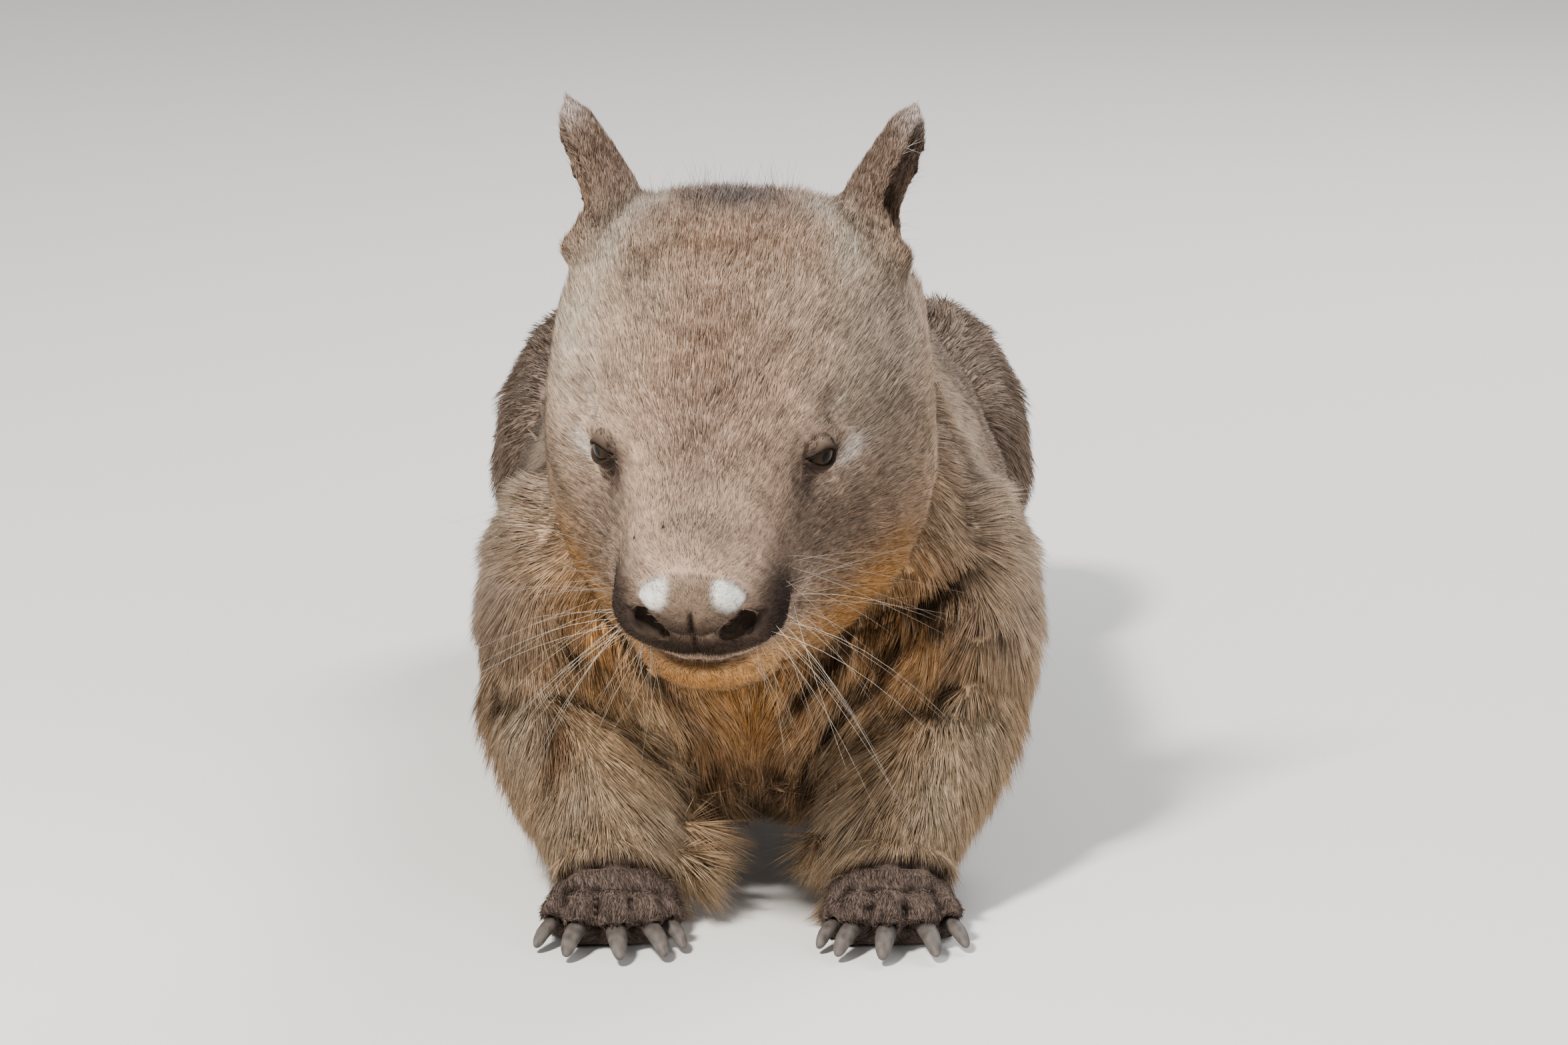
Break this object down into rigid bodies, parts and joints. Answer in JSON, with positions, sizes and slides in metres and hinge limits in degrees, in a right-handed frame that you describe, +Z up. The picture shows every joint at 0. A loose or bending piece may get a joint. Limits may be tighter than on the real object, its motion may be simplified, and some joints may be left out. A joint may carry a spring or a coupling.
{
  "type": "wombat",
  "caption": "Crouched southern hairy-nosed wombat, head lowered and turned slightly, standing on its clawed paws",
  "frame": {"origin": "on the floor, under the middle of the animal's length and breadth", "axes": "+Z up, the animal faces -Y, its left side is +X; +Y runs from nose to tail"},
  "size_m": [0.282, 0.7862, 0.3549],
  "materials": {
    "fur": "grizzled grey-brown and ochre coat, matt",
    "nose": "short-haired grey-brown skin, slightly moist",
    "claw": "worn grey-brown horn",
    "eye": "wet and glossy"
  },
  "bodies": {
    "root": {"ear_left": "fur", "eye_left": "eye", "ear_right": "fur", "eye_right": "eye", "head": "fur", "lower_jaw": "fur", "nose": "nose", "foreclaw_left_1": "claw", "foreclaw_left_2": "claw", "foreclaw_left_3": "claw", "foreclaw_left_4": "claw", "foreclaw_left_5": "claw", "forepaw_left": "fur", "hindclaw_left_2": "claw", "hindclaw_left_3": "claw", "hindclaw_left_4": "claw", "hindclaw_left_5": "claw", "hindpaw_left": "fur", "foreleg_left": "fur", "hindleg_left": "fur", "foreclaw_right_1": "claw", "foreclaw_right_2": "claw", "foreclaw_right_3": "claw", "foreclaw_right_4": "claw", "foreclaw_right_5": "claw", "forepaw_right": "fur", "hindclaw_right_2": "claw", "hindclaw_right_3": "claw", "hindclaw_right_4": "claw", "hindclaw_right_5": "claw", "hindpaw_right": "fur", "foreleg_right": "fur", "hindleg_right": "fur", "tail": "fur", "neck": "fur", "chest": "fur", "torso": "fur", "rump": "fur"}
  },
  "joints": []
}
